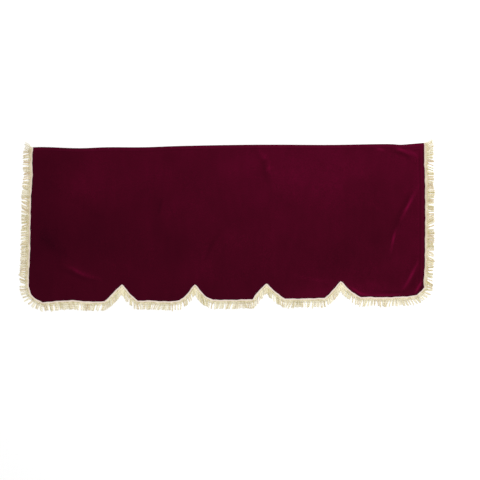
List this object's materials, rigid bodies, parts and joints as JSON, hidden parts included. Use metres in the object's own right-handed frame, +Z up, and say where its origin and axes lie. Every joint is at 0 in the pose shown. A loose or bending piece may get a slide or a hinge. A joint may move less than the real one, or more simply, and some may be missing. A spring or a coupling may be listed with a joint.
{
  "type": "piano cover",
  "caption": "Wide velvet cover cloth for a piano, lying flat, with a notched lower edge and fringe on three edges.",
  "frame": {"origin": "centre of the cover's outline, on the surface that it lies on", "axes": "+X along the width, towards the right in the picture; +Y towards the plain top edge; +Z up, out of the velvet's face"},
  "size_m": [1.9558, 0.7948, 0.0066],
  "materials": {
    "velvet": "burgundy velvet pile",
    "fringe": "cream twisted rayon yarn and woven tape"
  },
  "bodies": {
    "root": {"velvet_panel": "velvet", "fringe_left": "fringe", "fringe_lower": "fringe", "fringe_right": "fringe"}
  },
  "joints": []
}
